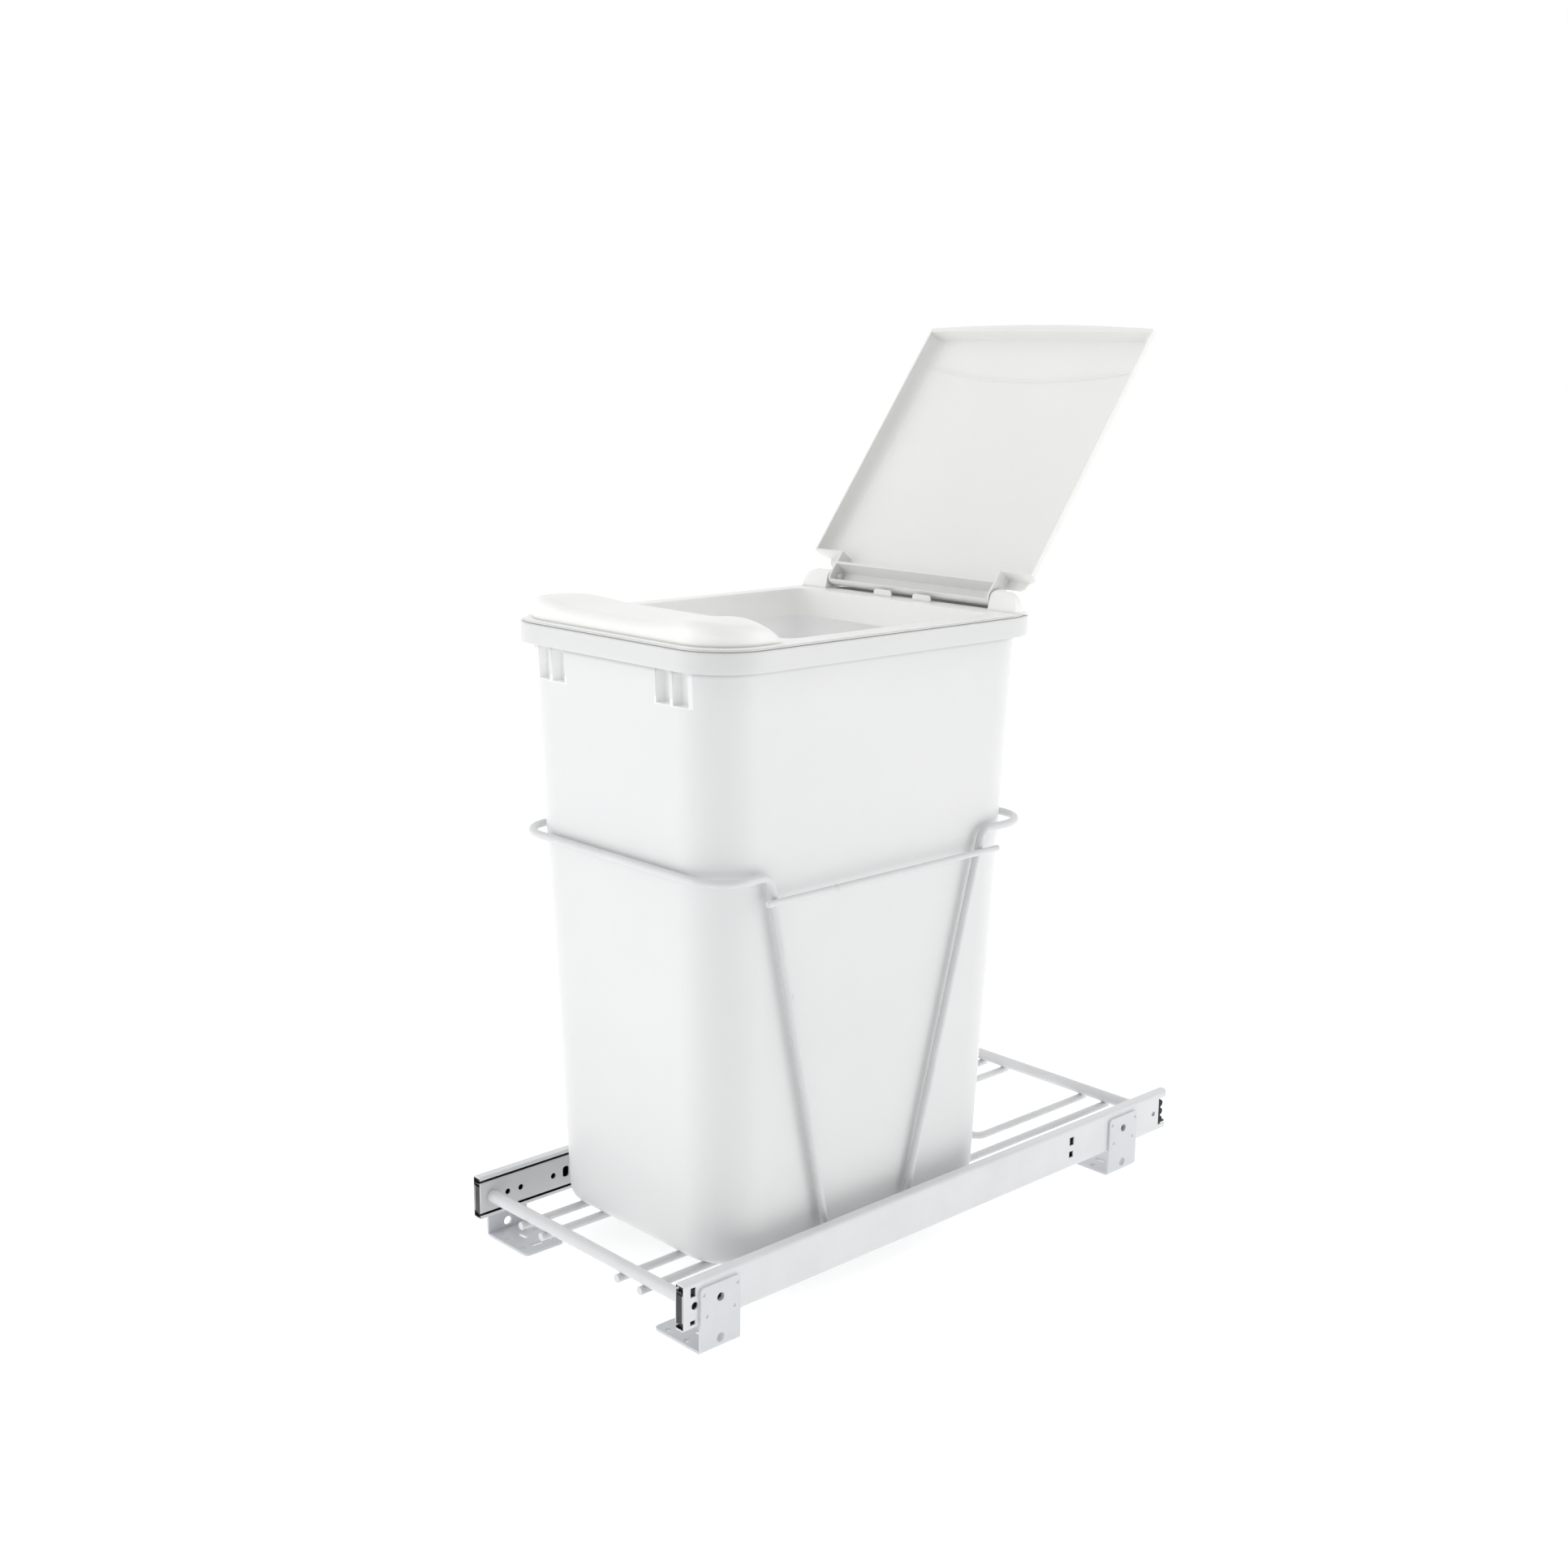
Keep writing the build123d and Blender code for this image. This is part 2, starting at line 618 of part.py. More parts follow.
def deck_hollow():
    """Return the space under the deck that keeps its wall thin, open to the bin below."""
    with BuildPart() as hollow:
        with BuildSketch(Plane.XY.offset(FRAME_BOTTOM_Z - 1)) as outline:
            with Locations((0, DECK_FRONT_Y + 6.5)):
                Rectangle(2 * DECK_HALF_X - 18, 48.0, align=(Align.CENTER, Align.MIN))
            fillet(outline.vertices().group_by(Axis.Y)[0], radius=31.0)
        extrude(amount=30)
        lowered_crown = Solid.extrude(deck_crown().moved(Location((0, 0, -3.0))), Vector(0, 0, -40))
        add(lowered_crown, mode=Mode.INTERSECT)
    return hollow.part


def hinge_post():
    """Return the right-hand hinge post: a round-shouldered plate, a cheek behind it and the pin."""
    crest = (HINGE_Y, HINGE_Z + POST_RADIUS)
    crest_front = (POST_FRONT_Y + 2.8, HINGE_Z + 1.0)
    crest_rear = (HINGE_Y + POST_RADIUS, HINGE_Z)
    with BuildPart() as post:
        with BuildSketch(Plane.YZ.offset(POST_INNER_X)):
            with BuildLine():
                Polyline(
                    crest_rear,
                    (HINGE_Y + POST_RADIUS, FRAME_BOTTOM_Z),
                    (POST_FRONT_Y, FRAME_BOTTOM_Z),
                    (POST_FRONT_Y, FRAME_TOP_Z),
                    crest_front,
                )
                Spline(crest_front, crest, tangents=[(0.4, 1.0), (1.0, 0.0)])
                TangentArc(crest, crest_rear, tangent=(1.0, 0.0))
            make_face()
        extrude(amount=POST_OUTER_X - POST_INNER_X)
        with BuildSketch(section_plane(HINGE_Y + 30)) as front_view:
            with Locations((POST_OUTER_X, HINGE_Z + POST_RADIUS)):
                Rectangle(POST_OUTER_X - POST_INNER_X, 40.0, align=(Align.MAX, Align.MAX))
            outer_corners = front_view.vertices().group_by(Axis.X)[-1]
            fillet(outer_corners.sort_by(Axis.Y)[-1], radius=POST_SIDE_ROUND)
        extrude(amount=60, mode=Mode.INTERSECT)
        with BuildSketch(Plane.XY.offset(FRAME_TOP_Z)):
            with Locations((POST_INNER_X + POST_CHEEK, POST_PLATE_REAR_Y)):
                Rectangle(40.0, 40.0, align=(Align.MIN, Align.MIN))
        extrude(amount=40, mode=Mode.SUBTRACT)
        with BuildSketch(Plane.YZ.offset(PIN_TIP_X)):
            with Locations((HINGE_Y, HINGE_Z)):
                Circle(PIN_RADIUS)
        extrude(amount=POST_INNER_X - PIN_TIP_X)
    return post.part


def seat_rib():
    """Return the low rib under the frame that drops inside the bin, cut away above the pockets."""
    with BuildPart() as rib:
        with BuildSketch(Plane((0, BIN_Y, FRAME_BOTTOM_Z - SEAT_RIB_DEPTH))):
            RectangleRounded(2 * SEAT_RIB_HALF_X, 2 * SEAT_RIB_HALF_Y, SEAT_RIB_CORNER)
            RectangleRounded(
                2 * (SEAT_RIB_HALF_X - SEAT_RIB_SHEET),
                2 * (SEAT_RIB_HALF_Y - SEAT_RIB_SHEET),
                SEAT_RIB_CORNER - SEAT_RIB_SHEET,
                mode=Mode.SUBTRACT,
            )
            with Locations((0, -SEAT_RIB_HALF_Y)):
                Rectangle(2 * BARREL_HALF_X + 4, 60.0, mode=Mode.SUBTRACT)
        extrude(amount=SEAT_RIB_DEPTH)
    return rib.part


def lid_frame():
    """Return the press-on lid frame: bead, collar, front deck, hinge trough, posts and rear tabs."""
    opening_middle_y = (OPENING_FRONT_Y + OPENING_REAR_Y) / 2
    opening_length = OPENING_REAR_Y - OPENING_FRONT_Y
    trough_length = TROUGH_REAR_Y - TROUGH_FRONT_Y
    right_post = hinge_post()
    with BuildPart() as frame:
        add(rim_plate(BEAD_INSET, FRAME_BOTTOM_Z, FRAME_TOP_Z))
        fillet(frame.edges().group_by(Axis.Z)[-1], radius=1.0)
        add(rim_plate(BEAD_INSET - 1.1, FRAME_BOTTOM_Z, FRAME_BOTTOM_Z + 0.9))
        add(seat_rib())
        with BuildSketch(Plane((0, opening_middle_y, COLLAR_BOTTOM_Z))):
            RectangleRounded(2 * OPENING_HALF_X + 4, opening_length + 4, OPENING_CORNER + 2)
        extrude(amount=FRAME_TOP_Z - COLLAR_BOTTOM_Z)
        with BuildSketch(Plane((0, opening_middle_y, COLLAR_BOTTOM_Z - 1))):
            RectangleRounded(2 * OPENING_HALF_X, opening_length, OPENING_CORNER)
        extrude(amount=30, mode=Mode.SUBTRACT)
        with BuildSketch(Plane.XY.offset(TROUGH_FLOOR_Z - TROUGH_SHEET)) as trough:
            with Locations((0, TROUGH_FRONT_Y + trough_length / 2)):
                Rectangle(2 * (POST_INNER_X + 1), trough_length + 2 * TROUGH_SHEET)
            fillet(trough.vertices().group_by(Axis.Y)[-1], radius=9.5)
        extrude(amount=FRAME_TOP_Z - TROUGH_FLOOR_Z + 1)
        with BuildSketch(Plane.XY.offset(TROUGH_FLOOR_Z)) as trough_room:
            with Locations((0, TROUGH_FRONT_Y + trough_length / 2)):
                Rectangle(2 * (POST_INNER_X - 0.4), trough_length)
            fillet(trough_room.vertices().group_by(Axis.Y)[-1], radius=7.5)
        extrude(amount=20, mode=Mode.SUBTRACT)
        add(front_deck())
        add(deck_hollow(), mode=Mode.SUBTRACT)
        add(right_post)
        add(mirrored(right_post))
        with BuildSketch(section_plane(TAB_REAR_Y)) as tabs:
            with Locations((-TAB_X, FRAME_TOP_Z - 1), (TAB_X, FRAME_TOP_Z - 1)):
                Rectangle(19.0, TAB_TOP_Z - FRAME_TOP_Z + 1, align=(Align.CENTER, Align.MIN))
            fillet(tabs.vertices().group_by(Axis.Y)[-1], radius=2.6)
        extrude(amount=TAB_SHEET)
    return frame.part


# ---------------------------------------------------------------- lid


def lid_section(x):
    """Return the plane across the lid at x: forward along the lid, then depth towards its underside."""
    return Plane(origin=(x, HINGE_Y, HINGE_Z), x_dir=LID_PLANE.y_dir, z_dir=(1, 0, 0))


def lid_form(half_x, rear, end, bow, lip, skin, side_round):
    """Return a tray form as a solid from lip to skin: straight rear, bowed end, rounded sides."""
    with BuildPart() as form:
        with BuildSketch(LID_PLANE.offset(lip)):
            with BuildLine():
                Polyline((-half_x, end), (-half_x, rear), (half_x, rear), (half_x, end))
                ThreePointArc((half_x, end), (0, end + bow), (-half_x, end))
            make_face()
        extrude(amount=skin - lip)
        depth_axis = Axis(LID_PLANE.origin, LID_PLANE.z_dir)
        along_axis = Axis(LID_PLANE.origin, LID_PLANE.y_dir)
        skin_edges = form.faces().sort_by(depth_axis)[0].edges()
        fillet(skin_edges.filter_by(along_axis), radius=side_round)
    return form.part


def lid_cavity(lip, skin):
    """Return the space inside the lid tray, reaching past the lip."""
    inner_half = LID_HALF_X - LID_SKIN
    return lid_form(
        inner_half, LID_START + LID_SKIN, LID_END - LID_END_WALL, 1.1, lip, skin, LID_SIDE_ROUND - LID_SKIN
    )


def crease_block():
    """Return a block behind the arched crease, used to keep the skin thicker there."""
    reach = LID_HALF_X + 5
    with BuildPart() as block:
        with BuildSketch(LID_PLANE.offset(-20)):
            with BuildLine():
                Polyline((-reach, CREASE_SIDE), (-reach, -20), (reach, -20), (reach, CREASE_SIDE))
                ThreePointArc((reach, CREASE_SIDE), (0, CREASE_MIDDLE), (-reach, CREASE_SIDE))
            make_face()
        extrude(amount=40)
    return block.part


def crease_ridge(bottom, height):
    """Return the fine arched ridge that runs along the crease."""
    half = LID_HALF_X - LID_SIDE_ROUND
    side = CREASE_MIDDLE + (CREASE_SIDE - CREASE_MIDDLE) * (half / (LID_HALF_X + 5)) ** 2
    with BuildPart() as ridge:
        with BuildSketch(LID_PLANE.offset(bottom)):
            with BuildLine():
                ThreePointArc((half, side), (0, CREASE_MIDDLE), (-half, side))
                Line((-half, side), (-half, side - CREASE_RIDGE_WIDTH))
                ThreePointArc(
                    (-half, side - CREASE_RIDGE_WIDTH),
                    (0, CREASE_MIDDLE - CREASE_RIDGE_WIDTH),
                    (half, side - CREASE_RIDGE_WIDTH),
                )
                Line((half, side - CREASE_RIDGE_WIDTH), (half, side))
            make_face()
        extrude(amount=height)
    return ridge.part


def waste_lid():
    """Return the hinged lid: bowed tray, cut-away rear corners, hinge barrel and pin holes."""
    skin = LID_LIP - LID_DEPTH
    inner_skin = skin + LID_SKIN
    barrel_middle = skin + BARREL_RADIUS
    plate_round = 5.4
    channel_half = BARREL_HALF_X - LID_SKIN
    deep_cavity = lid_cavity(LID_LIP + 1, inner_skin) - crease_block()
    with BuildPart() as lid:
        add(lid_form(LID_HALF_X, TAIL_START, LID_END, LID_BOW, LID_LIP, skin, LID_SIDE_ROUND))
        for side in (-1, 1):
            with BuildSketch(lid_section(side * (BARREL_HALF_X + 20))):
                with Locations(((LID_START + 5) / 2, (LID_LIP + 1 + inner_skin) / 2)):
                    Rectangle(LID_START - 5, LID_LIP + 1 - inner_skin)
            extrude(amount=20, both=True, mode=Mode.SUBTRACT)
            with BuildSketch(LID_PLANE.offset(-20)):
                with BuildLine():
                    Polyline(
                        (side * TAIL_HALF_X, LID_START),
                        (side * (TAIL_HALF_X - 2), 12.5),
                        (side * (TAIL_HALF_X - 6), TAIL_START),
                        (side * (TAIL_HALF_X - 6), 5),
                        (side * 130, 5),
                        (side * 130, LID_START),
                        close=True,
                    )
                make_face()
            extrude(amount=40, mode=Mode.SUBTRACT)
        with BuildSketch(lid_section(-BARREL_HALF_X)):
            with BuildLine():
                Polyline(
                    (0, skin),
                    (LID_START + LID_SKIN, skin),
                    (LID_START + LID_SKIN, LID_LIP),
                    (plate_round - BARREL_RADIUS, LID_LIP),
                )
                RadiusArc(
                    (plate_round - BARREL_RADIUS, LID_LIP),
                    (-BARREL_RADIUS, LID_LIP - plate_round),
                    -plate_round,
                )
                Line((-BARREL_RADIUS, LID_LIP - plate_round), (-BARREL_RADIUS, barrel_middle))
                RadiusArc((-BARREL_RADIUS, barrel_middle), (0, skin), -BARREL_RADIUS)
            make_face()
        extrude(amount=2 * BARREL_HALF_X)
        add(lid_cavity(LID_LIP + 1, inner_skin + CREASE_STEP), mode=Mode.SUBTRACT)
        add(deep_cavity, mode=Mode.SUBTRACT)
        with BuildSketch(lid_section(-channel_half)):
            with BuildLine():
                inner_radius = BARREL_RADIUS - LID_SKIN
                Polyline(
                    (-inner_radius, barrel_middle),
                    (-inner_radius, REAR_LIP),
                    (-BARREL_RADIUS - 1, REAR_LIP),
                    (-BARREL_RADIUS - 1, LID_LIP + 1),
                    (CHANNEL_FRONT, LID_LIP + 1),
                    (CHANNEL_FRONT - 1.7, inner_skin),
                    (0, inner_skin),
                )
                RadiusArc((-inner_radius, barrel_middle), (0, inner_skin), -inner_radius)
            make_face()
            with BuildLine():
                Polyline(
                    (CHANNEL_FRONT + LID_SKIN, LID_LIP + 1),
                    (CHANNEL_FRONT + LID_SKIN - 1.7, inner_skin + CREASE_STEP),
                    (LID_START + LID_SKIN + 1, inner_skin + CREASE_STEP),
                    (LID_START + LID_SKIN + 1, LID_LIP + 1),
                    close=True,
                )
            make_face()
        extrude(amount=2 * channel_half, mode=Mode.SUBTRACT)
        add(crease_ridge(inner_skin, CREASE_STEP + CREASE_RIDGE))
        with BuildSketch(lid_section(-BARREL_HALF_X - 1)):
            Circle(PIN_HOLE_RADIUS)
        extrude(amount=2 * BARREL_HALF_X + 2, mode=Mode.SUBTRACT)
    return lid.part


# ---------------------------------------------------------------- write the pieces

save_pair(outer_slide(), "outer_slide")
save_pair(inner_slide(), "inner_slide")
save_pair(ball_cage(), "ball_cage")
save_pair(balls(), "balls")
save_pair(front_guide(), "front_guide")
save_pair(rear_stop(), "rear_stop")
save_pair(bracket(BRACKET_FRONT_Y), "bracket_front")
save_pair(bracket(BRACKET_REAR_Y), "bracket_rear")
save(cross_bar(FRONT_BAR_Y), "front_bar")
save(cross_bar(REAR_BAR_Y), "rear_bar")
right_screws = bar_screw(FRONT_BAR_Y) + bar_screw(REAR_BAR_Y)
save(right_screws + mirrored(right_screws), "bar_screws")
right_base_wire = straight_wire(
    (OUTER_WIRE_X, WIRE_FRONT_Y, BASE_WIRE_Z), (OUTER_WIRE_X, WIRE_REAR_Y, BASE_WIRE_Z), WIRE_DIAMETER
)
save_pair(right_base_wire, "base_wire")
save(loop_wire(REAR_LOOP_Y, WIRE_REAR_Y), "rear_loop_wire")
save(loop_wire(FRONT_LOOP_Y, WIRE_FRONT_Y), "front_loop_wire")
save(hoop_wire(FRONT_HOOP_Y, FRONT_HOOP_Z, FRONT_LEG_TOP_Y, FRONT_LEG_FOOT_Y), "front_hoop_wire")
save(hoop_wire(REAR_HOOP_Y, REAR_HOOP_Z, REAR_LEG_TOP_Y, REAR_LEG_FOOT_Y), "rear_hoop_wire")
right_side_wire = straight_wire(
    (side_wire_x(FRONT_HOOP_Z), SIDE_WIRE_FRONT_Y, SIDE_WIRE_Z),
    (side_wire_x(REAR_HOOP_Z), SIDE_WIRE_REAR_Y, SIDE_WIRE_Z),
    SIDE_WIRE_DIAMETER,
)
save_pair(right_side_wire, "side_wire")
save(waste_bin(), "bin")
save(lid_frame(), "lid_frame")
save(waste_lid(), "lid")
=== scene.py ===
"""Looks for the pull-out waste container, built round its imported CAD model."""
import json
import math

import bpy
from mathutils import Matrix, Vector


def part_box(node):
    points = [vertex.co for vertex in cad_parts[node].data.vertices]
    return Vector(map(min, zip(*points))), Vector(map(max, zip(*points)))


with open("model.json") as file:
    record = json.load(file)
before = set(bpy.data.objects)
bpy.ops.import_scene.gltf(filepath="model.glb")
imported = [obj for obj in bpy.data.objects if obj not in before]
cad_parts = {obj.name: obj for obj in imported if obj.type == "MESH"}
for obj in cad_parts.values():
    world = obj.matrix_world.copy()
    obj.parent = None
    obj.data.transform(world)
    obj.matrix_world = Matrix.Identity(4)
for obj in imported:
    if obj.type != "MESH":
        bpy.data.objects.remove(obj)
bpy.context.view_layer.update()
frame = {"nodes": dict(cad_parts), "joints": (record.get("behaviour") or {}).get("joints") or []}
scene = bpy.context.scene


# ---------------------------------------------------------------- camera

AZIMUTH = math.radians(46.71)
ELEVATION = math.radians(12.53)
ROLL = math.radians(0.57)
FOCAL_SHARE = 2439.5 / 1932
SENSOR = 36.0
CAMERA_PLACE = (1.0912, -1.0970, 0.6940)


def make_camera():
    """The camera at the photograph's viewing angle."""
    back = Vector((
        math.sin(AZIMUTH) * math.cos(ELEVATION),
        -math.cos(AZIMUTH) * math.cos(ELEVATION),
        math.sin(ELEVATION),
    ))
    level = Vector((math.cos(AZIMUTH), math.sin(AZIMUTH), 0))
    over = back.cross(level)
    right = level * math.cos(ROLL) + over * math.sin(ROLL)
    over = back.cross(right)
    data = bpy.data.cameras.new("camera")
    data.sensor_width = SENSOR
    data.lens = FOCAL_SHARE * SENSOR
    data.clip_start = 0.01
    data.clip_end = 50
    camera = bpy.data.objects.new("camera", data)
    turn = Matrix((right, over, back)).transposed().to_4x4()
    camera.matrix_world = Matrix.Translation(CAMERA_PLACE) @ turn
    scene.collection.objects.link(camera)
    scene.camera = camera


# ---------------------------------------------------------------- materials

# Places on the CAD, in metres
RAIL_HEIGHT = 0.0386
TRACK_HALF_HEIGHT = 0.0164
RIM_PLATE = 0.0024
SKIRT_HEIGHT = 0.0147
SKIRT_SHADOW_REACH = 0.005
POCKET_DEPTH = 0.0265
OUTER_TRACK_X = (0.11868, 0.12645)
INNER_TRACK_X = (0.11895, 0.1252)

# Strengths of the light given off: painted light on the bin's inner walls, pockets and collar, in place of
# light through thin white plastic, and light from the floor
WALL_PAINTED_LIGHT = 0.28
POCKET_PAINTED_LIGHT = 0.12
COLLAR_PAINTED_LIGHT = 0.11
FLOOR_GLOW = 0.38


class Nodes:
    """A small helper that adds linked shader nodes to one material."""

    def __init__(self, name):
        self.material = bpy.data.materials.new(name)
        self.material.use_nodes = True
        self.tree = self.material.node_tree
        self.tree.nodes.clear()
        self.shader = self.tree.nodes.new("ShaderNodeBsdfPrincipled")
        out = self.tree.nodes.new("ShaderNodeOutputMaterial")
        self.tree.links.new(self.shader.outputs[0], out.inputs[0])
        self.place = self.tree.nodes.new("ShaderNodeTexCoord").outputs["Object"]

    def add(self, kind, links=None, **values):
        """One node, with values on its sockets or properties and links into its inputs."""
        node = self.tree.nodes.new(kind)
        for key, value in values.items():
            if hasattr(node, key):
                setattr(node, key, value)
            else:
                node.inputs[key.replace("_", " ")].default_value = value
        for key, source in (links or {}).items():
            self.tree.links.new(source, node.inputs[key])
        return node

    def noise(self, scale, detail=3.0, roughness=0.5):
        """Noise in metres-based object space: scale is features per metre."""
        return self.add("ShaderNodeTexNoise", {"Vector": self.place},
                        Scale=scale, Detail=detail, Roughness=roughness).outputs[0]

    def ramp(self, source, low, high, dark, light):
        """A colour that goes from dark at low to light at high."""
        node = self.add("ShaderNodeValToRGB", {"Fac": source})
        node.color_ramp.elements[0].position = low
        node.color_ramp.elements[0].color = (*dark, 1)
        node.color_ramp.elements[1].position = high
        node.color_ramp.elements[1].color = (*light, 1)
        return node.outputs[0]

    def math(self, operation, a, b=0.0):
        """A math node on one or two sources or numbers."""
        node = self.tree.nodes.new("ShaderNodeMath")
        node.operation = operation
        for socket, value in zip(node.inputs, (a, b)):
            if isinstance(value, (int, float)):
                socket.default_value = value
            else:
                self.tree.links.new(value, socket)
        return node.outputs[0]

    def mix(self, factor, a, b):
        """A colour between a and b."""
        node = self.tree.nodes.new("ShaderNodeMix")
        node.data_type = "RGBA"
        for key, value in ((0, factor), (6, a), (7, b)):
            if isinstance(value, (int, float)):
                node.inputs[key].default_value = value
            elif isinstance(value, tuple):
                node.inputs[key].default_value = (*value, 1)
            else:
                self.tree.links.new(value, node.inputs[key])
        return node.outputs[2]

    def bump(self, height, strength, distance, before=None):
        """A bump, on top of one made before."""
        links = {"Height": height}
        if before is not None:
            links["Normal"] = before
        return self.add("ShaderNodeBump", links, Strength=strength, Distance=distance).outputs[0]

    def set(self, links=None, **values):
        """Values and links on the shader itself."""
        for key, value in values.items():
            self.shader.inputs[key.replace("_", " ")].default_value = value
        for key, source in (links or {}).items():
            self.tree.links.new(source, self.shader.inputs[key])
        return self.material

    def painted_crevice_shade(self, colour, reach, depth, keep):
        """Darken a colour where other surfaces stand within reach: painted shade in gaps and corners."""
        open_sky = self.add("ShaderNodeAmbientOcclusion", samples=12, Distance=reach).outputs["AO"]
        lit_share = self.math("POWER", open_sky, depth)
        fully_shaded = self.mix(keep, (0, 0, 0), colour)
        return self.mix(lit_share, fully_shaded, colour)

    def inward(self, centre_y, deep, shallow, top):
        """How much a wall faces the middle of the bin, rising from deep to shallow, none above top."""
        flat = self.add("ShaderNodeVectorMath", operation="MULTIPLY_ADD")
        flat.inputs[1].default_value = (-1, -1, 0)
        flat.inputs[2].default_value = (0, centre_y, 0)
        self.tree.links.new(self.place, flat.inputs[0])
        to_middle = self.add("ShaderNodeVectorMath", operation="NORMALIZE")
        self.tree.links.new(flat.outputs[0], to_middle.inputs[0])
        facing = self.add("ShaderNodeVectorMath", operation="DOT_PRODUCT")
        self.tree.links.new(to_middle.outputs[0], facing.inputs[0])
        self.tree.links.new(self.add("ShaderNodeNewGeometry").outputs["Normal"], facing.inputs[1])
        height = self.add("ShaderNodeSeparateXYZ", {"Vector": self.place}).outputs[2]
        fade = self.add("ShaderNodeMapRange", {"Value": height}, interpolation_type="SMOOTHSTEP")
        fade.inputs["From Min"].default_value = deep
        fade.inputs["From Max"].default_value = shallow
        turned = self.math("MAXIMUM", facing.outputs["Value"], 0.0)
        below = self.math("LESS_THAN", height, top)
        return self.math("MULTIPLY", self.math("MULTIPLY", turned, fade.outputs[0]), below)

    def inside(self, low, high):
        """1 inside a box given by its corners, 0 outside; left and right sides count alike."""
        axes = self.add("ShaderNodeSeparateXYZ", {"Vector": self.place}).outputs
        sources = (self.math("ABSOLUTE", axes[0]), axes[1], axes[2])
        result = 1.0
        for source, start, end in zip(sources, low, high):
            result = self.math("MULTIPLY", self.math("GREATER_THAN", source, start), result)
            result = self.math("MULTIPLY", self.math("LESS_THAN", source, end), result)
        return result


def moulded_plastic(name, dark, light, rough):
    """Polypropylene: a fine spark texture, faint flow marks and slightly duller patches."""
    n = Nodes(name)
    patch = n.noise(7, 3)
    n.colour = n.ramp(patch, 0.3, 0.7, dark, light)
    bump = n.bump(n.noise(2600, 2), 0.12, 0.0002)
    bump = n.bump(n.noise(22, 2), 0.10, 0.0006, bump)
    shine = n.math("MULTIPLY_ADD", patch, 0.12)
    shine.node.inputs[2].default_value = rough - 0.06
    n.set({"Base Color": n.colour, "Normal": bump, "Roughness": shine},
          IOR=1.49, Subsurface_Weight=0.25, Subsurface_Radius=(1.0, 1.0, 1.0), Subsurface_Scale=0.004)
    return n


def paint_light_inside(n, strength):
    """Painted light: a glow on the side of the walls that faces into the bin, in place of light that comes
    through the thin white walls.
    """
    bin_low, bin_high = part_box("bin")
    middle_y = (bin_low[1] + bin_high[1]) / 2
    return n.math("MULTIPLY", n.inward(middle_y, bin_low[2], bin_high[2], bin_high[2] + RIM_PLATE), strength)


def bin_plastic():
    """The bin's plastic: a slightly darker skirt, painted shadow under it, and painted light on its inner
    walls and in its pockets, in place of light through the thin plastic.
    """
    n = moulded_plastic("bin_plastic", (0.73, 0.735, 0.74), (0.76, 0.762, 0.765), 0.36)
    low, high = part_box("bin")
    neck = high[2] - SKIRT_HEIGHT
    height = n.add("ShaderNodeSeparateXYZ", {"Vector": n.place}).outputs[2]
    skirt = n.math("GREATER_THAN", height, neck)
    colour = n.mix(skirt, n.colour, n.mix(0.07, n.colour, (0, 0, 0)))
    # Painted shadow: a near-black band on the wall just under the skirt's lower edge; the band called dust
    # is this shade, not dirt.
    dust = n.add("ShaderNodeMapRange", {"Value": height}, interpolation_type="SMOOTHSTEP")
    dust.inputs["From Min"].default_value = neck - SKIRT_SHADOW_REACH
    dust.inputs["From Max"].default_value = neck
    dust.inputs["To Max"].default_value = 0.45
    under = n.math("MULTIPLY", dust.outputs[0], n.math("SUBTRACT", 1.0, skirt))
    colour = n.mix(under, colour, (0.02, 0.02, 0.02))
    # Painted light: the pockets in the front wall glow a little, so that they look lit though they lie in
    # shade.
    pockets = n.inside((0.050, low[1] + 0.0075, neck - POCKET_DEPTH), (0.088, low[1] + 0.0178, neck))
    # Painted light: the walls glow on the side that faces into the bin.
    painted_light = n.math("ADD", paint_light_inside(n, WALL_PAINTED_LIGHT), n.math("MULTIPLY", pockets, POCKET_PAINTED_LIGHT))
    return n.set({"Base Color": colour, "Emission Strength": painted_light}, Emission_Color=(1, 1, 0.99, 1))


def frame_plastic():
    """The lid frame's plastic: painted shade in its hinge trough and along its gaps and corners, and painted
    light on its collar.
    """
    n = moulded_plastic("frame_plastic", (0.90, 0.90, 0.885), (0.93, 0.93, 0.915), 0.34)
    rim_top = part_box("bin")[1][2] + RIM_PLATE
    hinge_y = next(joint for joint in frame["joints"] if joint["name"] == "lid_hinge")["pos_m"][1]
    # Painted shade: the hinge trough under the barrel is painted near-black, and the rest is darkened in
    # gaps and corners.
    trough = n.inside((-1, hinge_y - 0.0055, rim_top - 0.010), (0.0893, hinge_y + 0.0115, rim_top - 0.0004))
    colour = n.mix(trough, n.painted_crevice_shade(n.colour, 0.0025, 0.6, 0.35), (0.03, 0.03, 0.03))
    # Painted light: the collar glows on the side that faces into the bin.
    return n.set({"Base Color": colour, "Emission Strength": paint_light_inside(n, COLLAR_PAINTED_LIGHT)},
                 Emission_Color=(1, 1, 0.985, 1))


def lid_plastic():
    """The lid's plastic."""
    n = moulded_plastic("lid_plastic", (0.80, 0.80, 0.785), (0.83, 0.83, 0.815), 0.34)
    return n.material


def powder_coat(name, dark, light, rough, peel_strength=0.16):
    """Powder-coated steel: orange peel, fine pits and a little dust in the colour."""
    n = Nodes(name)
    tint = n.noise(35, 4)
    colour = n.ramp(tint, 0.3, 0.7, dark, light)
    bump = n.bump(n.noise(900, 2), peel_strength, 0.0003)
    shine = n.math("MULTIPLY_ADD", tint, 0.14)
    shine.node.inputs[2].default_value = rough - 0.07
    return n.set({"Base Color": colour, "Normal": bump, "Roughness": shine}, IOR=1.5, Coat_Weight=0.15,
                 Coat_Roughness=0.2)


